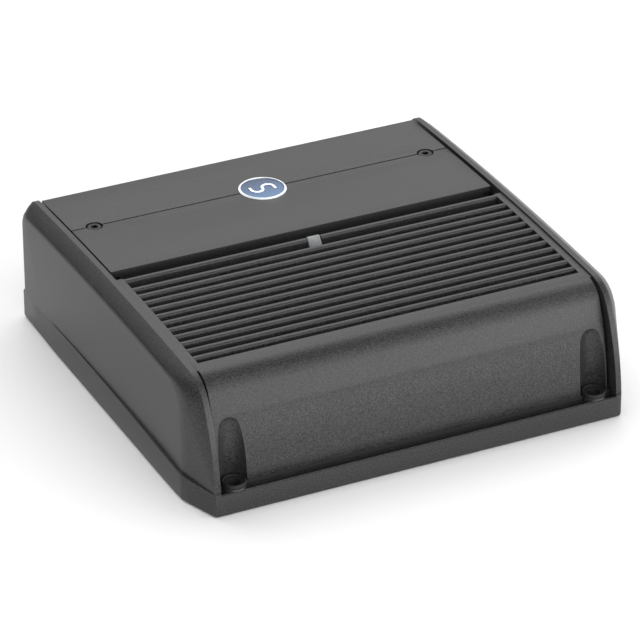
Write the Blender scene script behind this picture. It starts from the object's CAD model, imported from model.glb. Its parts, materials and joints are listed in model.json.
import json
import math

import bmesh
import bpy
from mathutils import Matrix, Vector

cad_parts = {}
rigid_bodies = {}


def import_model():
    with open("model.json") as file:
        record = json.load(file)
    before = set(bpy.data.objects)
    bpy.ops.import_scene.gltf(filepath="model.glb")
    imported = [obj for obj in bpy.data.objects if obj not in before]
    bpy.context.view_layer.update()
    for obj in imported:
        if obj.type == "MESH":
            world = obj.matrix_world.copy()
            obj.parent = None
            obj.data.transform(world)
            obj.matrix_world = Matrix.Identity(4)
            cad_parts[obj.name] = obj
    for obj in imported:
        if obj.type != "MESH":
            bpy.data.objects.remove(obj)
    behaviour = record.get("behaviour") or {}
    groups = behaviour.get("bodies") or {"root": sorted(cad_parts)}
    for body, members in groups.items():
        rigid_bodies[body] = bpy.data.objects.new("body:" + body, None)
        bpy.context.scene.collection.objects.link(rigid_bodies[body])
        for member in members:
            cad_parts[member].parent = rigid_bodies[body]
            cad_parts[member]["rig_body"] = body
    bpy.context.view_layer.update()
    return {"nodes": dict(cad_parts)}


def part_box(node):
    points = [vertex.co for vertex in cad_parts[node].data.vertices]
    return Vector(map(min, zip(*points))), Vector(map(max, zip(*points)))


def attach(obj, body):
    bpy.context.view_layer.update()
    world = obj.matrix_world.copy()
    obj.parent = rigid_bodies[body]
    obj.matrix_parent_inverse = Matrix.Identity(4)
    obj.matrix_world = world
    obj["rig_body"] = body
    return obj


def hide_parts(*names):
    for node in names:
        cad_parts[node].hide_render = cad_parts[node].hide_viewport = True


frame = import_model()
cad = frame["nodes"]


# ---- Studio: a white paper sweep between lit walls ----
# Product-table lighting: a white table, a bright low wall in front and to the right, a second one
# high at the back left, and dark walls on the left, so that each face reads in its own tone.


def srgb(hex_code):
    """An sRGB hex colour as the linear colour that a socket takes."""
    parts = [int(hex_code[i : i + 2], 16) / 255 for i in (1, 3, 5)]
    return [c / 12.92 if c <= 0.04045 else ((c + 0.055) / 1.055) ** 2.4 for c in parts] + [1]


def add(tree, kind, settings=None, **inputs):
    """Adds one node, sets its properties or colour stops, and sets or links its inputs."""
    node = tree.nodes.new(kind)
    for key, value in (settings or {}).items():
        if key != "stops":
            setattr(node, key, value)
            continue
        points = node.color_ramp.elements
        while len(points) < len(value):
            points.new(0.5)
        for point, (position, colour) in zip(points, value):
            point.position, point.color = position, colour
    for key, value in inputs.items():
        key = int(key[1:]) if key[0] == "_" and key[1:].isdigit() else key.replace("_", " ")
        socket = node.inputs[key]
        if isinstance(value, bpy.types.NodeSocket):
            tree.links.new(value, socket)
        else:
            socket.default_value = value
    return node


AIM = Vector((-0.00565, -0.0115, 0.02655))
AZIMUTH, ELEVATION, ROLL = (math.radians(a) for a in (-25.73, 28.9, -0.2))
DISTANCE = 1.643

back = Vector(
    (
        math.sin(AZIMUTH) * math.cos(ELEVATION),
        -math.cos(AZIMUTH) * math.cos(ELEVATION),
        math.sin(ELEVATION),
    )
)
camera = bpy.data.objects.new("camera", bpy.data.cameras.new("camera"))
camera.data.lens = 237.2
camera.data.clip_end = 20
camera.location = AIM + back * DISTANCE
camera.rotation_mode = "QUATERNION"
camera.rotation_quaternion = (-back).to_track_quat("-Z", "Y") @ Matrix.Rotation(ROLL, 3, "Z").to_quaternion()
bpy.context.scene.collection.objects.link(camera)
bpy.context.scene.camera = camera
bpy.context.scene.view_settings.view_transform = "Standard"

floor_mesh = bpy.data.meshes.new("floor")
floor_mesh.from_pydata([(-3, -3, 0), (3, -3, 0), (3, 3, 0), (-3, 3, 0)], [], [(0, 1, 2, 3)])
floor = bpy.data.objects.new("floor", floor_mesh)
bpy.context.scene.collection.objects.link(floor)
sweep = bpy.data.materials.new("white_paper_sweep")
sweep.use_nodes = True
sweep_shader = sweep.node_tree.nodes["Principled BSDF"]
sweep_shader.inputs["Base Color"].default_value = srgb("#f7f7f7")
sweep_shader.inputs["Roughness"].default_value = 0.9
floor_mesh.materials.append(sweep)

world = bpy.data.worlds.new("studio")
world.use_nodes = True
bpy.context.scene.world = world
tree = world.node_tree

# Brightness of the studio walls: one row for each height, its values 45 or 90 degrees apart
# round the table from the front, and the overhead as the last row. They came out of a least
# squares fit of test renders and weren't set by hand
PEAK = 6.0
WALLS = [
    (4, (5.0, 5.99, 2.96, 1.08, 0.48, 0.0, 0.0, 0.0)),
    (13, (3.08, 3.64, 2.73, 1.09, 0.38, 0.0, 0.0, 0.69)),
    (25, (2.21, 2.11, 1.67, 1.4, 1.24, 0.0, 0.0, 1.14)),
    (41, (1.97, 1.51, 0.3, 2.37, 2.89, 1.79, 0.2, 1.48)),
    (60, (0.79, 0.21, 3.2, 1.44)),
    (82, (0.1,)),
]
axes = add(tree, "ShaderNodeSeparateXYZ", Vector=add(tree, "ShaderNodeTexCoord").outputs["Generated"])
height = add(tree, "ShaderNodeMath", {"operation": "ARCSINE"}, _0=axes.outputs["Z"]).outputs[0]
front = add(tree, "ShaderNodeMath", {"operation": "MULTIPLY"}, _0=axes.outputs["Y"], _1=-1.0)
turn = add(tree, "ShaderNodeMath", {"operation": "ARCTAN2"}, _0=axes.outputs["X"], _1=front.outputs[0])
part = add(tree, "ShaderNodeMath", {"operation": "DIVIDE"}, _0=turn.outputs[0], _1=2 * math.pi)
round_it = add(tree, "ShaderNodeMath", {"operation": "FRACT"}, _0=part.outputs[0]).outputs[0]
glow, previous = None, 0
for angle, values in WALLS:
    stops = [(k / len(values), [v / PEAK] * 3 + [1]) for k, v in enumerate(values + values[:1])]
    row = add(tree, "ShaderNodeValToRGB", {"stops": stops}, Fac=round_it).outputs["Color"]
    if glow is None:
        glow = row
    else:
        share = add(tree, "ShaderNodeMapRange", Value=height)
        share.inputs["From Min"].default_value = math.radians(previous)
        share.inputs["From Max"].default_value = math.radians(angle)
        blend = add(tree, "ShaderNodeMix", {"data_type": "RGBA"}, Factor=share.outputs[0], _6=glow, _7=row)
        glow = blend.outputs[2]
    previous = angle
tree.links.new(glow, tree.nodes["Background"].inputs["Color"])
tree.nodes["Background"].inputs["Strength"].default_value = PEAK


# ---- Tray: the plinth that everything is built up on ----
# Die-cast aluminium with a raised lip, deburred and powder coated charcoal. The powder melts into
# a fine orange-peel skin with a light sparkle, softer and rounder on the edges.

MM = 0.001


def finish_material(name, colour, rough, metallic=0.0):
    """A new node material, its tree, its shader and its object coordinates."""
    material = bpy.data.materials.new(name)
    material.use_nodes = True
    tree = material.node_tree
    shader = tree.nodes["Principled BSDF"]
    shader.inputs["Base Color"].default_value = srgb(colour)
    shader.inputs["Roughness"].default_value = rough
    shader.inputs["Metallic"].default_value = metallic
    return material, tree, shader, add(tree, "ShaderNodeTexCoord").outputs["Object"]


def grain_of(tree, place, size_mm, detail=2.0):
    """The random grain of a finish, size_mm across, from 0 to 1."""
    scale = 1 / (size_mm * MM)
    return add(
        tree, "ShaderNodeTexNoise", Vector=place, Scale=scale, Detail=detail, Roughness=0.6
    ).outputs["Fac"]


def show(tree, shader, pattern, colours=None, rough=None, relief_mm=None):
    """Lets a pattern show in a finish: in its colour, its sheen and its relief."""
    if colours:
        shade = add(tree, "ShaderNodeValToRGB", {"stops": colours}, Fac=pattern)
        tree.links.new(shade.outputs["Color"], shader.inputs["Base Color"])
    if rough:
        sheen = add(tree, "ShaderNodeMapRange", Value=pattern, From_Min=0.3, From_Max=0.7)
        sheen.inputs["To Min"].default_value, sheen.inputs["To Max"].default_value = rough
        tree.links.new(sheen.outputs[0], shader.inputs["Roughness"])
    if relief_mm:
        relief = add(tree, "ShaderNodeBump", Height=pattern, Distance=relief_mm * MM)
        tree.links.new(relief.outputs[0], shader.inputs["Normal"])


def powder_coat(name, dark, light, grain_mm, bump_mm, rough):
    """Textured powder coat: pigment fleck, an orange-peel skin and a varying sheen."""
    material, tree, shader, place = finish_material(name, dark, rough)
    grit = grain_of(tree, place, grain_mm)
    show(tree, shader, grit, colours=[(0.36, srgb(dark)), (0.68, srgb(light))])
    edge = add(tree, "ShaderNodeAttribute", {"attribute_name": "edge"}).outputs["Fac"]
    sheen = add(tree, "ShaderNodeMapRange", Value=grit, From_Min=0.3, From_Max=0.7)
    sheen.inputs["To Min"].default_value = rough - 0.08
    sheen.inputs["To Max"].default_value = rough + 0.08
    thin = add(tree, "ShaderNodeMath", {"operation": "MULTIPLY_ADD"}, _0=edge, _1=-0.14, _2=sheen.outputs[0])
    tree.links.new(thin.outputs[0], shader.inputs["Roughness"])
    flat = add(tree, "ShaderNodeMath", {"operation": "MULTIPLY_ADD"}, _0=edge, _1=-0.75, _2=1.0)
    skin = add(tree, "ShaderNodeBump", Height=grit, Distance=bump_mm * MM, Strength=flat.outputs[0])
    tree.links.new(skin.outputs[0], shader.inputs["Normal"])
    shader.inputs["Specular IOR Level"].default_value = 0.38
    return material


def cover_with(obj, material):
    """Gives obj one material."""
    obj.data.materials.clear()
    obj.data.materials.append(material)


def recoat(node, material):
    """Gives a CAD part, as it is, a better material."""
    for place in cad[node].material_slots:
        place.material = material


def smooth(obj, angle=28):
    """Shades obj smooth, with its real corners kept."""
    obj.data.shade_smooth()
    obj.data.set_sharp_from_angle(angle=math.radians(angle))


def new_piece(name, mesh, material, body, slot, *nodes):
    """A finished piece in place: coated, riding on its body and standing for its nodes."""
    obj = bpy.data.objects.new(name, mesh)
    bpy.context.scene.collection.objects.link(obj)
    smooth(obj)
    cover_with(obj, material)
    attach(obj, body)
    if nodes:
        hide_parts(*nodes)
    return obj


def joined(node):
    """A copy of a CAD part with its loose triangles joined into whole faces."""
    shape = bmesh.new()
    shape.from_mesh(cad[node].data)
    bmesh.ops.remove_doubles(shape, verts=shape.verts, dist=2e-6)
    bmesh.ops.dissolve_limit(
        shape, angle_limit=math.radians(0.05), verts=shape.verts, edges=shape.edges
    )
    return shape


def break_edges(shape, edge_mm, sharp=35, where=None):
    """Rounds the outward corners of a shape, as tumbling or a mould's own radius does."""
    worn = shape.faces.layers.float.get("edge") or shape.faces.layers.float.new("edge")
    corners = [
        e
        for e in shape.edges
        if len(e.link_faces) == 2
        and e.is_convex
        and e.calc_face_angle(0) > math.radians(sharp)
        and (where is None or where((e.verts[0].co + e.verts[1].co) / 2))
    ]
    rounded = bmesh.ops.bevel(
        shape, geom=corners, offset=edge_mm * MM, segments=3, profile=0.5, affect="EDGES",
        clamp_overlap=True,
    )
    for face in rounded["faces"]:
        face[worn] = 1.0


def as_mesh(shape, name):
    """Turns a shape into a mesh, and lets go of the shape."""
    mesh = bpy.data.meshes.new(name)
    shape.to_mesh(mesh)
    shape.free()
    return mesh


def finished(node, material, slot, edge_mm=0.25, sharp=35):
    """A machined or moulded part with its outer edges broken."""
    shape = joined(node)
    if edge_mm:
        break_edges(shape, edge_mm, sharp)
    return new_piece(node + "_finished", as_mesh(shape, node), material, cad[node]["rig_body"], slot, node)


def moulded_plastic(name, colour, rough):
    """Injection-moulded plastic: a fine mould texture, with faint flow marks in its sheen."""
    material, tree, shader, place = finish_material(name, colour, rough)
    texture = grain_of(tree, place, 0.3)
    flow = grain_of(tree, place, 6.0, 3.0)
    pale = [min(1, 1.5 * c + 0.004) for c in srgb(colour)[:3]] + [1]
    show(tree, shader, texture, colours=[(0.35, srgb(colour)), (0.8, pale)])
    show(tree, shader, flow, rough=(rough - 0.07, rough + 0.1))
    show(tree, shader, texture, relief_mm=0.015)
    return material


charcoal = powder_coat("charcoal_powder_coat", "#151515", "#3e3e3f", 0.5, 0.05, 0.37)

SOLE_X, SOLE_Y = 0.083, 0.088  # outside these, an edge of the underside is an outer edge
tray = joined("base_tray")
break_edges(tray, 1.3, where=lambda p: p.z < 1e-4 and (abs(p.x) > SOLE_X or abs(p.y) > SOLE_Y))
break_edges(tray, 0.3, sharp=40)
new_piece("tray_casting", as_mesh(tray, "tray_casting"), charcoal, "amplifier", "body_coat", "base_tray")


# ---- Seal and mounting grommets ----
# Moulded nitrile rubber, matte black with a fine mould texture. The seal lies in the tray's seat,
# and a bush with a raised ring is pressed into each corner to take a mounting screw.


def moulded_rubber(name, colour):
    """Matte rubber with a dusty bloom and the grain of its mould."""
    material, tree, shader, place = finish_material(name, colour, 0.75)
    grain = grain_of(tree, place, 0.5, 3.0)
    bloom = [(0.3, srgb(colour)), (0.8, srgb("#19191a"))]
    show(tree, shader, grain, colours=bloom, rough=(0.62, 0.85), relief_mm=0.03)
    return material


def size_tree(name, **sizes):
    """A geometry node tree with a geometry input and one named input for each size."""
    tree = bpy.data.node_groups.new(name, "GeometryNodeTree")
    tree.interface.new_socket("Part", in_out="INPUT", socket_type="NodeSocketGeometry")
    for label, value in sizes.items():
        kind = "NodeSocketInt" if isinstance(value, int) else "NodeSocketFloat"
        tree.interface.new_socket(label.replace("_", " "), in_out="INPUT", socket_type=kind)
    tree.interface.new_socket("Material", in_out="INPUT", socket_type="NodeSocketMaterial")
    tree.interface.new_socket("Pieces", in_out="OUTPUT", socket_type="NodeSocketGeometry")
    return tree, add(tree, "NodeGroupInput").outputs


def end_tree(tree, geometry, material):
    """Ends a tree in real geometry that carries its material."""
    real = add(tree, "GeometryNodeRealizeInstances", Geometry=geometry)
    coated = add(tree, "GeometryNodeSetMaterial", Geometry=real.outputs[0], Material=material)
    add(tree, "NodeGroupOutput", Pieces=coated.outputs[0])


def grown(name, mesh, tree, material, at=(0, 0, 0), **sizes):
    """The plain mesh that a tree makes out of mesh with these sizes, moved to its place."""
    maker = bpy.data.objects.new(name, mesh)
    bpy.context.scene.collection.objects.link(maker)
    modifier = maker.modifiers.new(name, "NODES")
    modifier.node_group = tree
    for socket in tree.interface.items_tree:
        label = socket.name.replace(" ", "_")
        if socket.in_out == "INPUT" and label in sizes:
            modifier[socket.identifier] = sizes[label]
        if socket.in_out == "INPUT" and label == "Material":
            modifier[socket.identifier] = material
    ready = maker.evaluated_get(bpy.context.evaluated_depsgraph_get())
    result = bpy.data.meshes.new_from_object(ready)
    maker.modifiers.remove(modifier)
    bpy.data.objects.remove(maker)
    result.transform(Matrix.Translation(at))
    return result


def lathed(profile, steps=64):
    """A closed ring turned from an outline of (radius, height) points in millimetres."""
    shape = bmesh.new()
    rings = []
    for k in range(steps):
        turn = 2 * math.pi * k / steps
        rings.append(
            [shape.verts.new((r * MM * math.cos(turn), r * MM * math.sin(turn), z * MM)) for r, z in profile]
        )
    count = len(profile)
    for k in range(steps):
        a, b = rings[k], rings[(k + 1) % steps]
        for i in range(count):
            shape.faces.new((a[i], b[i], b[(i + 1) % count], a[(i + 1) % count]))
    bmesh.ops.recalc_face_normals(shape, faces=shape.faces)
    return shape


grid_tree, sizes_in = size_tree("on_a_grid", Across=2, Along=2, Spacing_X=0.1, Spacing_Y=0.1)
gaps_x = add(grid_tree, "ShaderNodeMath", {"operation": "SUBTRACT"}, _0=sizes_in["Across"], _1=1.0)
gaps_y = add(grid_tree, "ShaderNodeMath", {"operation": "SUBTRACT"}, _0=sizes_in["Along"], _1=1.0)
span_x = add(
    grid_tree, "ShaderNodeMath", {"operation": "MULTIPLY"}, _0=gaps_x.outputs[0], _1=sizes_in["Spacing X"]
)
span_y = add(
    grid_tree, "ShaderNodeMath", {"operation": "MULTIPLY"}, _0=gaps_y.outputs[0], _1=sizes_in["Spacing Y"]
)
grid = add(
    grid_tree, "GeometryNodeMeshGrid", Size_X=span_x.outputs[0], Size_Y=span_y.outputs[0],
    Vertices_X=sizes_in["Across"], Vertices_Y=sizes_in["Along"],
)
placed = add(grid_tree, "GeometryNodeInstanceOnPoints", Points=grid.outputs[0], Instance=sizes_in["Part"])
end_tree(grid_tree, placed.outputs[0], sizes_in["Material"])

nitrile = moulded_rubber("nitrile_rubber", "#0a0a0a")
recoat("seal_gasket", nitrile)
GROMMET = [
    (2.5, 0.4), (3.45, 0.35), (3.45, 10.1), (4.5, 10.15), (4.72, 10.4), (4.75, 11.2), (4.62, 11.65),
    (4.3, 11.8), (3.98, 11.62), (3.85, 11.15), (3.55, 11.02), (2.9, 11.02), (2.6, 10.9), (2.5, 10.6),
]
low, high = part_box("mounting_grommets")
REAR_LIFT = 1.95 * MM  # the rear bushes stand on a higher ledge
for row, lift in (("front", 0.0), ("rear", REAR_LIFT)):
    bush = as_mesh(lathed(GROMMET), "grommet_" + row)
    spot = (0, low.y + 4.75 * MM if row == "front" else high.y - 4.75 * MM, lift)
    bushes = grown(
        "grommets_" + row, bush, grid_tree, nitrile, spot, Across=2, Along=1,
        Spacing_X=high.x - low.x - 9.5 * MM, Spacing_Y=0.0,
    )
    new_piece("grommets_" + row, bushes, nitrile, "amplifier", "black_rubber", "mounting_grommets")


# ---- Fixing screws ----
# Pan-head steel screws with a hexagon socket, turned, cold headed and zinc plated. The plating is
# a soft blue-grey metal with faint turning marks.


def plated_steel(name, colour, rough, streak_mm=0.5):
    """Plated steel: a metal whose roughness follows faint marks of its making."""
    material, tree, shader, place = finish_material(name, colour, rough, 1.0)
    marks = grain_of(tree, place, streak_mm, 4.0)
    bright = [min(1, 1.25 * c) for c in srgb(colour)]
    tints = [(0.3, srgb(colour)), (0.75, bright)]
    show(tree, shader, marks, colours=tints, rough=(rough - 0.08, rough + 0.1), relief_mm=0.012)
    return material


def socket_screw(head_r, head_h, shank_r, length, socket_r):
    """A pan-head screw that points down, its head's underside at zero."""
    steps, shape = 48, bmesh.new()
    turn = 2 * math.pi / steps
    outline = [
        (0.0, -length), (shank_r - 0.3, -length), (shank_r, 0.35 - length), (shank_r, 0.0), (head_r, 0.0),
        (head_r, head_h * 0.62), (head_r - 0.12, head_h * 0.86), (head_r - 0.45, head_h),
    ]
    previous = None
    for r, z in outline:
        if r == 0:
            ring = [shape.verts.new((0, 0, z * MM))] * steps
        else:
            ring = [
                shape.verts.new((r * MM * math.cos(turn * k), r * MM * math.sin(turn * k), z * MM))
                for k in range(steps)
            ]
        if previous:
            for k in range(steps):
                corners = [previous[k], previous[(k + 1) % steps], ring[(k + 1) % steps], ring[k]]
                shape.faces.new(list(dict.fromkeys(corners)))
        previous = ring

    def hexagon(z, r):
        angles = [math.radians(a) for a in range(0, 360, 60)]
        corners = [Vector((math.cos(a), math.sin(a))) * r for a in angles]
        ring = []
        for k in range(steps):
            side, part = divmod(k * 6 / steps, 1)
            p = corners[int(side)].lerp(corners[(int(side) + 1) % 6], part)
            ring.append(shape.verts.new((p.x * MM, p.y * MM, z * MM)))
        return ring

    for z, r in ((head_h, socket_r + 0.15), (head_h - 0.15, socket_r), (head_h * 0.35, socket_r)):
        ring = hexagon(z, r)
        for k in range(steps):
            shape.faces.new((previous[k], previous[(k + 1) % steps], ring[(k + 1) % steps], ring[k]))
        previous = ring
    shape.faces.new(previous)
    bmesh.ops.recalc_face_normals(shape, faces=shape.faces)
    return shape


zinc = plated_steel("zinc_plated_steel", "#8c8e92", 0.38)


def screws_on_grid(node, screw, across, along, flip=False):
    """Screws in the rows and columns that a CAD node of screws fills, heads down if flipped."""
    low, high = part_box(node)
    head = screw["head_r"] * MM
    mesh = as_mesh(socket_screw(**screw), node + "_one")
    z = high.z - screw["head_h"] * MM
    if flip:
        mesh.transform(Matrix.Rotation(math.pi, 4, "X"))
        z = low.z + screw["head_h"] * MM
    gap_x = (high.x - low.x - 2 * head) / (across - 1)
    gap_y = (high.y - low.y - 2 * head) / (along - 1)
    spot = ((low.x + high.x) / 2, (low.y + high.y) / 2, z)
    rows = grown(
        node, mesh, grid_tree, zinc, spot, Across=across, Along=along, Spacing_X=gap_x, Spacing_Y=gap_y
    )
    new_piece(node + "_set", rows, zinc, "amplifier", "screw_steel", node)


TRAY_SCREW = dict(head_r=2.8, head_h=2.0, shank_r=1.45, length=12.8, socket_r=1.4)
PLATE_SCREW = dict(head_r=2.2, head_h=1.4, shank_r=1.15, length=5.8, socket_r=0.85)
screws_on_grid("tray_screws", TRAY_SCREW, 3, 2, flip=True)
screws_on_grid("plate_screws", PLATE_SCREW, 2, 2)
for node in ("cap_screws", "board_screws", "clamp_screws", "speaker_plug_screws"):
    recoat(node, zinc)


# ---- Body: one aluminium casting, with its cooling ribs ----
# High-pressure die casting with drafted ribs along an arched deck, blasted and powder coated. The
# front face is one convex sweep into the crown, with a scallop over each mounting screw.

ARCH_R, CREST_Z, CREST_Y = 1.700, 0.0536, 0.018
RIB_LENGTH, RIB_T, RIB_DEPTH, RIB_PITCH, FIRST_PITCH = 0.1611, 0.0027, 0.008, 0.0056, 0.0078
FIRST_RIB_Y, RIB_COUNT = 0.0059, 12
NOTCH_W = 0.006


def arch_z(y, drop=0.0):
    """Height of the arched deck at station y."""
    return CREST_Z - ARCH_R + math.sqrt((ARCH_R - drop) ** 2 - (y - CREST_Y) ** 2)


rib_tree, sizes_in = size_tree(
    "cooling_ribs", Count=12, Pitch=0.1, First_Pitch=0.1, First_Y=0.1, Length=0.1, Thickness=0.1,
    Depth=0.1, Edge_Radius=0.1, Arch_Radius=0.1, Crest_Y=0.1, Crest_Z=0.1, Notch=0.1,
)


row = add(rib_tree, "GeometryNodeMeshLine", Count=sizes_in["Count"])
index = add(rib_tree, "GeometryNodeInputIndex").outputs[0]
steps = {
    "past_second": ("SUBTRACT", index, 1.0),
    "later": ("MAXIMUM", "past_second", 0.0),
    "past_first": ("MINIMUM", index, 1.0),
    "later_gaps": ("MULTIPLY", "later", sizes_in["Pitch"]),
    "first_gap": ("MULTIPLY", "past_first", sizes_in["First Pitch"]),
    "back_off": ("ADD", "later_gaps", "first_gap"),
    "station": ("SUBTRACT", sizes_in["First Y"], "back_off"),
    "from_crest": ("SUBTRACT", "station", sizes_in["Crest Y"]),
    "radius_squared": ("MULTIPLY", sizes_in["Arch Radius"], sizes_in["Arch Radius"]),
    "run_squared": ("MULTIPLY", "from_crest", "from_crest"),
    "rise_squared": ("SUBTRACT", "radius_squared", "run_squared"),
    "rise": ("SQRT", "rise_squared", 0.0),
    "fall": ("SUBTRACT", "rise", sizes_in["Arch Radius"]),
    "height": ("ADD", "fall", sizes_in["Crest Z"]),
    "half": ("MULTIPLY", sizes_in["Length"], 0.5),
    "minus_half": ("MULTIPLY", "half", -1.0),
    "half_depth_down": ("MULTIPLY", sizes_in["Depth"], -0.5),
    "gap_y": ("MULTIPLY", sizes_in["Thickness"], 1.5),
    "gap_z": ("MULTIPLY", sizes_in["Depth"], 3.0),
}
value = {}
for step, (operation, first, second) in steps.items():
    first, second = (value[v] if isinstance(v, str) else v for v in (first, second))
    value[step] = add(
        rib_tree, "ShaderNodeMath", {"operation": operation}, _0=first, _1=second
    ).outputs[0]
spots = add(
    rib_tree, "GeometryNodeSetPosition", Geometry=row.outputs[0],
    Position=add(rib_tree, "ShaderNodeCombineXYZ", Y=value["station"], Z=value["height"]).outputs[0],
)
outline = add(
    rib_tree, "GeometryNodeCurvePrimitiveQuadrilateral", Width=sizes_in["Thickness"],
    Height=sizes_in["Depth"],
)
rounded = add(
    rib_tree, "GeometryNodeFilletCurve", {"mode": "POLY"}, Curve=outline.outputs[0], Count=5,
    Radius=sizes_in["Edge Radius"],
)
spine = add(
    rib_tree, "GeometryNodeCurvePrimitiveLine",
    Start=add(rib_tree, "ShaderNodeCombineXYZ", X=value["minus_half"]).outputs[0],
    End=add(rib_tree, "ShaderNodeCombineXYZ", X=value["half"]).outputs[0],
)
bar = add(
    rib_tree, "GeometryNodeCurveToMesh", Curve=spine.outputs[0], Profile_Curve=rounded.outputs[0],
    Fill_Caps=True,
)
sunk = add(
    rib_tree, "GeometryNodeTransform", Geometry=bar.outputs[0],
    Translation=add(
        rib_tree, "ShaderNodeCombineXYZ", Z=value["half_depth_down"]
    ).outputs[0],
)
ribs = add(
    rib_tree, "GeometryNodeInstanceOnPoints", Points=spots.outputs[0], Instance=sunk.outputs[0]
)
solid_ribs = add(rib_tree, "GeometryNodeRealizeInstances", Geometry=ribs.outputs[0])
gap = add(
    rib_tree, "GeometryNodeMeshCube",
    Size=add(
        rib_tree, "ShaderNodeCombineXYZ", X=sizes_in["Notch"],
        Y=value["gap_y"], Z=value["gap_z"],
    ).outputs[0],
)
gap_at = add(
    rib_tree, "GeometryNodeTransform", Geometry=gap.outputs[0],
    Translation=add(
        rib_tree, "ShaderNodeCombineXYZ", Y=sizes_in["First Y"], Z=sizes_in["Crest Z"]
    ).outputs[0],
)
notched = add(rib_tree, "GeometryNodeMeshBoolean", {"operation": "DIFFERENCE", "solver": "EXACT"})
rib_tree.links.new(solid_ribs.outputs[0], notched.inputs["Mesh 1"])
rib_tree.links.new(gap_at.outputs[0], notched.inputs["Mesh 2"])
end_tree(rib_tree, notched.outputs[0], sizes_in["Material"])

rib_mesh = grown(
    "cooling_ribs", bpy.data.meshes.new("rib_seed"), rib_tree, charcoal, Count=RIB_COUNT, Pitch=RIB_PITCH,
    First_Pitch=FIRST_PITCH, First_Y=FIRST_RIB_Y, Length=RIB_LENGTH, Thickness=RIB_T, Depth=RIB_DEPTH,
    Edge_Radius=0.95 * MM, Arch_Radius=ARCH_R, Crest_Y=CREST_Y, Crest_Z=CREST_Z, Notch=NOTCH_W,
)
new_piece("cooling_ribs", rib_mesh, charcoal, "amplifier", "body_coat", "heatsink")

# The rib field is cut clear down to its floor, and the ribs above stand in it
CLEAR = 0.03 * MM
field = bmesh.new()
y_front, y_rear = FIRST_RIB_Y - FIRST_PITCH - (RIB_COUNT - 2) * RIB_PITCH - 0.0042, FIRST_RIB_Y + 0.003
columns = []
for k in range(17):
    y = y_front + (y_rear - y_front) * k / 16
    for x in (-RIB_LENGTH / 2 + 0.0001, RIB_LENGTH / 2 - 0.0001):
        columns.append([field.verts.new((x, y, z)) for z in (arch_z(y, 0.007) + CLEAR, 0.08)])
for k in range(16):
    a, b, c, d = columns[2 * k], columns[2 * k + 1], columns[2 * k + 2], columns[2 * k + 3]
    field.faces.new((a[0], c[0], d[0], b[0]))
    field.faces.new((a[1], b[1], d[1], c[1]))
    field.faces.new((a[0], a[1], c[1], c[0]))
    field.faces.new((b[0], d[0], d[1], b[1]))
field.faces.new((columns[0][0], columns[1][0], columns[1][1], columns[0][1]))
field.faces.new((columns[-2][0], columns[-2][1], columns[-1][1], columns[-1][0]))
bmesh.ops.recalc_face_normals(field, faces=field.faces)
cutter = bpy.data.objects.new("rib_field", as_mesh(field, "rib_field"))
blank = bpy.data.objects.new("body_blank", as_mesh(joined("heatsink"), "body_blank"))
for obj in (cutter, blank):
    bpy.context.scene.collection.objects.link(obj)
cut = blank.modifiers.new("field", "BOOLEAN")
cut.operation, cut.solver, cut.object = "DIFFERENCE", "EXACT", cutter
ready = blank.evaluated_get(bpy.context.evaluated_depsgraph_get())
shape = bmesh.new()
shape.from_mesh(ready.to_mesh())
for obj in (cutter, blank):
    bpy.data.objects.remove(obj)
bmesh.ops.remove_doubles(shape, verts=shape.verts, dist=2e-6)
bmesh.ops.dissolve_limit(shape, angle_limit=math.radians(0.05), verts=shape.verts, edges=shape.edges)
break_edges(shape, 0.3, sharp=40)
new_piece("body_casting", as_mesh(shape, "body_casting"), charcoal, "amplifier", "body_coat", "heatsink")


# ---- End caps ----
# Die-cast aluminium ends with a raised rim and a soft crease below it, screwed on from inside and
# coated with the same powder. The edge of each rim is rounded where the coat runs thin.

for side in ("left", "right"):
    cap = joined("end_cap_" + side)
    break_edges(cap, 0.45, sharp=38)
    new_piece("end_cap_" + side + "_casting", as_mesh(cap, "end_cap_" + side), charcoal, "amplifier",
              "body_coat", "end_cap_" + side)


# ---- Status light: smoked tile, light guide and diode ----
# A block of smoked acrylic lies across the rear groove and carries the diode's light up to the
# surface. It is moulded clear with a grey tint, and its upper face is finely textured.

lens, tree, shader, place = finish_material("smoked_acrylic", "#8b8d8f", 0.35)
haze = grain_of(tree, place, 1.6, 3.0)
show(tree, shader, haze, colours=[(0.3, srgb("#7b7d80")), (0.75, srgb("#a3a5a7"))])
shader.inputs["Transmission Weight"].default_value = 0.25
shader.inputs["IOR"].default_value = 1.49
show(tree, shader, haze, rough=(0.28, 0.46), relief_mm=0.02)
finished("light_pipe", lens, "smoked_lens", 0.3)

lamp, tree, shader, place = finish_material("diode_epoxy", "#a9c4ee", 0.2)
shader.inputs["Transmission Weight"].default_value = 0.5
die = add(tree, "ShaderNodeTexVoronoi", Vector=place, Scale=900.0).outputs["Distance"]
show(tree, shader, die, colours=[(0.0, srgb("#5f8ff0")), (0.5, srgb("#b8ccf0"))], rough=(0.15, 0.3))
recoat("status_led", lamp)


# ---- Main board and the parts soldered to it ----
# Glass-epoxy board with green solder mask over etched copper, on brass spacers. Wound coils,
# sleeved electrolytic cans and moulded packages stand on it.


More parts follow.
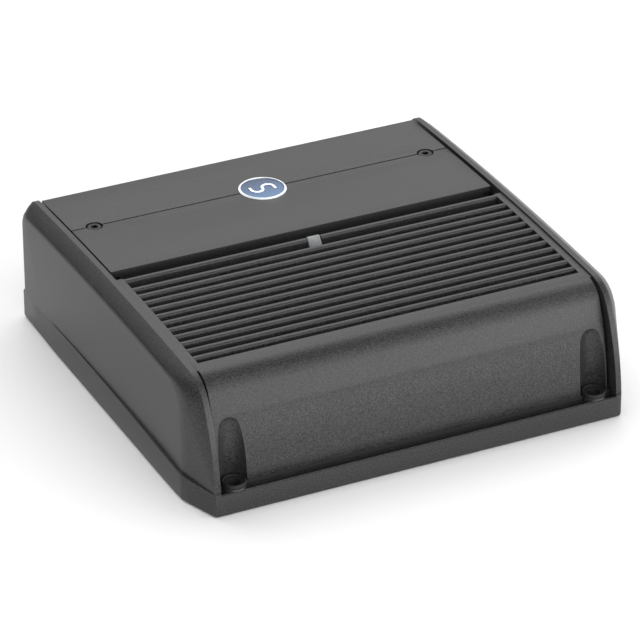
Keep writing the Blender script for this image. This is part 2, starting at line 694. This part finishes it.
def glass_epoxy(name, mask, track):
    """Solder mask over copper tracks: blocky routed lanes with vias between them."""
    material, tree, shader, place = finish_material(name, mask, 0.3)
    lanes = add(
        tree, "ShaderNodeTexBrick", {"offset": 0.37, "squash": 0.6, "squash_frequency": 3}, Vector=place,
        Scale=90.0, Mortar_Size=0.03, Bias=-0.4, Brick_Width=0.7, Row_Height=0.22,
    ).outputs["Fac"]
    vias = add(tree, "ShaderNodeTexVoronoi", Vector=place, Scale=210.0).outputs["Distance"]
    via = add(tree, "ShaderNodeMath", {"operation": "LESS_THAN"}, _0=vias, _1=0.14).outputs[0]
    copper = add(tree, "ShaderNodeMath", {"operation": "MAXIMUM"}, _0=lanes, _1=via).outputs[0]
    show(tree, shader, copper, colours=[(0.2, srgb(mask)), (0.8, srgb(track))])
    show(tree, shader, grain_of(tree, place, 3.0), rough=(0.24, 0.42))
    show(tree, shader, copper, relief_mm=0.035)
    return material


board = glass_epoxy("green_glass_epoxy", "#174a30", "#2f7a4e")
for node in ("main_board", "signal_board", "control_board"):
    recoat(node, board)


def turned_metal(name, colour, rough, ring_mm=0.25):
    """Turned metal: tool marks across the axis, caught by the light, with slight tarnish."""
    material, tree, shader, place = finish_material(name, colour, rough, 1.0)
    marks = add(
        tree, "ShaderNodeTexWave", {"wave_type": "BANDS", "bands_direction": "Z"}, Vector=place,
        Scale=1 / (ring_mm * MM * 6.3), Distortion=0.4, Detail=1.0,
    ).outputs["Fac"]
    tarnish = grain_of(tree, place, 2.5, 3.0)
    dull = [0.72 * c for c in srgb(colour)[:3]] + [1]
    tints = [(0.35, dull), (0.7, srgb(colour))]
    show(tree, shader, tarnish, colours=tints, rough=(rough - 0.06, rough + 0.14))
    show(tree, shader, marks, relief_mm=0.01)
    return material


brass = turned_metal("turned_brass", "#b9954a", 0.3)
for node in ("board_spacers", "control_spacers"):
    recoat(node, brass)


def wound_wire(name, colour, centre, turns):
    """Enamelled wire wound round a ring: one rounded ridge for each turn, with a varnish sheen."""
    material, tree, shader, place = finish_material(name, colour, 0.3, 0.35)
    offset = add(tree, "ShaderNodeVectorMath", {"operation": "SUBTRACT"}, _0=place, _1=centre).outputs[0]
    axes = add(tree, "ShaderNodeSeparateXYZ", Vector=offset)
    angle = add(tree, "ShaderNodeMath", {"operation": "ARCTAN2"}, _0=axes.outputs["Y"], _1=axes.outputs["X"])
    phase = add(tree, "ShaderNodeMath", {"operation": "MULTIPLY"}, _0=angle.outputs[0], _1=float(turns))
    ridge = add(tree, "ShaderNodeMath", {"operation": "SINE"}, _0=phase.outputs[0]).outputs[0]
    level = add(tree, "ShaderNodeMapRange", Value=ridge, From_Min=-1.0, From_Max=1.0).outputs[0]
    dark = [0.25 * c for c in srgb(colour)[:3]] + [1]
    show(tree, shader, level, colours=[(0.05, dark), (0.55, srgb(colour))])
    show(tree, shader, grain_of(tree, place, 1.2), rough=(0.22, 0.4))
    show(tree, shader, level, relief_mm=0.35)
    return material


def middle_of(node):
    """The middle of a CAD node's box."""
    low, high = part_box(node)
    return tuple((low + high) / 2)


toroid_wire = wound_wire("enamelled_copper_wire", "#a35a24", middle_of("transformer_winding"), 96)
recoat("transformer_winding", toroid_wire)
recoat("input_choke", wound_wire("choke_wire", "#b06a30", middle_of("input_choke"), 40))

coil_wire, tree, shader, place = finish_material("output_coil_wire", "#bb7436", 0.3, 0.35)
lay = add(
    tree, "ShaderNodeTexWave", {"wave_type": "BANDS", "bands_direction": "X"}, Vector=place,
    Scale=160.0, Distortion=0.6, Detail=1.0,
).outputs["Fac"]
show(tree, shader, lay, colours=[(0.1, srgb("#4a2a12")), (0.6, srgb("#bb7436"))])
show(tree, shader, grain_of(tree, place, 1.2), rough=(0.22, 0.4))
show(tree, shader, lay, relief_mm=0.25)
recoat("output_coils", coil_wire)

# A shrink sleeve covers each can's side, and its bare aluminium top stays open
sleeve, tree, shader, place = finish_material("sleeved_can", "#1d2b4a", 0.32)
facing = add(
    tree, "ShaderNodeSeparateXYZ", Vector=add(tree, "ShaderNodeNewGeometry").outputs["Normal"]
).outputs["Z"]
top = add(tree, "ShaderNodeMath", {"operation": "GREATER_THAN"}, _0=facing, _1=0.6).outputs[0]
spin = grain_of(tree, place, 0.8, 4.0)
blues = [(0.3, srgb("#17223c")), (0.8, srgb("#27385e"))]
film = add(tree, "ShaderNodeValToRGB", {"stops": blues}, Fac=spin).outputs["Color"]
skin = add(tree, "ShaderNodeMix", {"data_type": "RGBA"}, Factor=top)
skin.inputs[7].default_value = srgb("#c3c5c8")
tree.links.new(film, skin.inputs[6])
tree.links.new(skin.outputs[2], shader.inputs["Base Color"])
tree.links.new(top, shader.inputs["Metallic"])
show(tree, shader, spin, rough=(0.24, 0.42), relief_mm=0.02)
recoat("reservoir_capacitors", sleeve)

package = moulded_plastic("black_moulding_compound", "#1a1a1b", 0.5)
for node in ("output_transistors", "board_chips"):
    recoat(node, package)

pad, tree, shader, place = finish_material("silicone_pad", "#b9b7ac", 0.7)
weave = add(tree, "ShaderNodeTexBrick", Vector=place, Scale=500.0, Mortar_Size=0.06).outputs["Fac"]
show(tree, shader, weave, colours=[(0.2, srgb("#bdbbb1")), (0.9, srgb("#9f9d93"))])
show(tree, shader, grain_of(tree, place, 1.0), rough=(0.6, 0.8))
show(tree, shader, weave, relief_mm=0.04)
recoat("thermal_pads", pad)
for node in ("transformer_clamp", "transistor_clamps"):
    recoat(node, zinc)


# ---- Power terminal: housing, clamp blocks and clamp screws ----
# Glass-filled nylon housing with nickel-plated brass clamp blocks. Each block takes a wire from the
# rear, and its slotted steel screw is driven down on the wire from above.

nylon = moulded_plastic("glass_filled_nylon", "#1d1e1f", 0.42)
finished("power_terminal", nylon, "black_plastic", 0.25)
nickel = turned_metal("nickel_plated_brass", "#b5ad9c", 0.32)
finished("power_contacts", nickel, "brass", 0.2)
for n in (1, 2, 3):
    finished(f"power_screw_{n}", zinc, "screw_steel", 0.15)


# ---- Speaker connector: header and pluggable block ----
# Pluggable block of green polyamide, with eight wire throats and a steel screw over each, pushed on
# a black header that is soldered to the main board.

polyamide = moulded_plastic("green_polyamide", "#2f7d4c", 0.38)
finished("speaker_header", nylon, "black_plastic", 0.2)
finished("speaker_plug", polyamide, "green_plastic", 0.25)


# ---- Signal inputs: four coaxial jacks ----
# A black moulded housing holds four turned sleeves with thin gold plating over nickel. Each sleeve
# has a rolled lip, a flange that seats on the housing and a white insulator inside.

finished("jack_housing", nylon, "black_plastic", 0.25)
gold = turned_metal("gold_plated_brass", "#c9a45a", 0.22, 0.18)
finished("jack_sleeves", gold, "plated_sleeve", 0.2)


# ---- Controls: plate, controls under it, knobs and switches ----
# Painted steel plate over a small board. The knobs are moulded in black plastic, with a fluted grip
# and a white pointer in the slot, and the switch actuators are polished.

plate, tree, shader, place = finish_material("satin_black_paint", "#202123", 0.5)
stipple = grain_of(tree, place, 0.35)
paint = [(0.35, srgb("#1b1c1e")), (0.7, srgb("#2b2c2e"))]
show(tree, shader, stipple, colours=paint, rough=(0.42, 0.6), relief_mm=0.03)
finished("control_plate", plate, "plate_paint", 0.2)

scale_tree, sizes_in = size_tree("printed_scale", Marks=11, Radius=0.1, Length=0.1, Width=0.1, Sweep=4.0)
arc = add(
    scale_tree, "GeometryNodeCurveArc", {"mode": "RADIUS"}, Resolution=sizes_in["Marks"],
    Radius=sizes_in["Radius"], Start_Angle=math.radians(-50), Sweep_Angle=sizes_in["Sweep"],
)
marks = add(scale_tree, "GeometryNodeCurveToPoints", {"mode": "EVALUATED"}, Curve=arc.outputs[0])
bar = add(
    scale_tree, "GeometryNodeMeshCube",
    Size=add(
        scale_tree, "ShaderNodeCombineXYZ", X=sizes_in["Length"], Y=sizes_in["Width"], Z=0.04 * MM
    ).outputs[0],
)
outward = add(
    scale_tree, "FunctionNodeAlignRotationToVector", {"axis": "X"},
    Vector=add(scale_tree, "GeometryNodeInputPosition").outputs[0],
)
printed = add(
    scale_tree, "GeometryNodeInstanceOnPoints", Points=marks.outputs[0], Instance=bar.outputs[0],
    Rotation=outward.outputs[0],
)
end_tree(scale_tree, printed.outputs[0], sizes_in["Material"])

ink, tree, shader, place = finish_material("white_screen_ink", "#d8d8d4", 0.6)
film = grain_of(tree, place, 0.15)
show(tree, shader, film, colours=[(0.3, srgb("#c4c4c0")), (0.7, srgb("#e6e6e2"))], rough=(0.5, 0.7))
knob_plastic = moulded_plastic("black_knob_plastic", "#161617", 0.34)
plate_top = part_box("control_plate")[1].z
for node in ("gain_knob_1", "gain_knob_2", "filter_knob_1", "filter_knob_2"):
    finished(node, knob_plastic, "knob_plastic", 0.2)
    x, y, _ = middle_of(node)
    marks = grown(
        node + "_scale", bpy.data.meshes.new("seed"), scale_tree, ink, (x, y, plate_top + 0.02 * MM),
        Marks=11, Radius=6.0 * MM, Length=1.3 * MM, Width=0.3 * MM, Sweep=math.radians(280),
    )
    new_piece(node + "_scale", marks, ink, "amplifier", "plate_paint")

pot = moulded_plastic("blue_grey_resin", "#3a4a5c", 0.4)
recoat("pot_bodies", pot)
recoat("switch_bodies", package)
actuator = moulded_plastic("polished_actuator", "#2b2c2e", 0.22)
for n in (1, 2, 3):
    finished(f"switch_slider_{n}", actuator, "slider_plastic", 0.15)

flat_cable, tree, shader, place = finish_material("ribbon_cable", "#8f9296", 0.45)
wires = add(
    tree, "ShaderNodeTexWave", {"wave_type": "BANDS", "bands_direction": "X"}, Vector=place, Scale=124.0
).outputs["Fac"]
greys = [(0.1, srgb("#5e6165")), (0.6, srgb("#9a9da1"))]
show(tree, shader, wires, colours=greys, rough=(0.4, 0.52), relief_mm=0.3)
recoat("control_ribbon", flat_cable)
recoat("ribbon_headers", package)


# ---- Cover: front panel, rear panel and the bar that joins them ----
# Two folded aluminium panels that meet at a fine seam over a steel joint bar, powder coated with the
# body. Their outer edges are broken before coating.

for node in ("cover_front", "cover_rear"):
    finished(node, charcoal, "body_coat", 0.25)
recoat("cover_joint_bar", charcoal)

blackened = plated_steel("black_zinc_steel", "#3a3b3d", 0.45)
for side in ("left", "right"):
    finished("cover_screw_" + side, blackened, "screw_steel", 0.2)


# ---- Badge: bezel, enamelled field and raised emblem ----
# A die-struck disc with a dark lacquered edge, a blue enamel field and a bright raised emblem, bonded
# in a shallow recess across the seam.

bezel = plated_steel("bright_nickel", "#dfe2e6", 0.34)
finished("badge_frame", bezel, "badge_rim", 0.12)
enamel, tree, shader, place = finish_material("blue_enamel", "#45688f", 0.22)
shade = add(tree, "ShaderNodeSeparateXYZ", Vector=place).outputs["Y"]
across = add(tree, "ShaderNodeMapRange", Value=shade, From_Min=0.043, From_Max=0.062).outputs[0]
show(tree, shader, across, colours=[(0.1, srgb("#4f769f")), (0.9, srgb("#1f3b5c"))])
show(tree, shader, grain_of(tree, place, 0.6), rough=(0.16, 0.3))
show(tree, shader, grain_of(tree, place, 0.9), relief_mm=0.01)
recoat("badge_field", enamel)
emblem = plated_steel("brushed_emblem", "#eceef0", 0.45)
finished("badge_emblem", emblem, "badge_mark", 0.08)
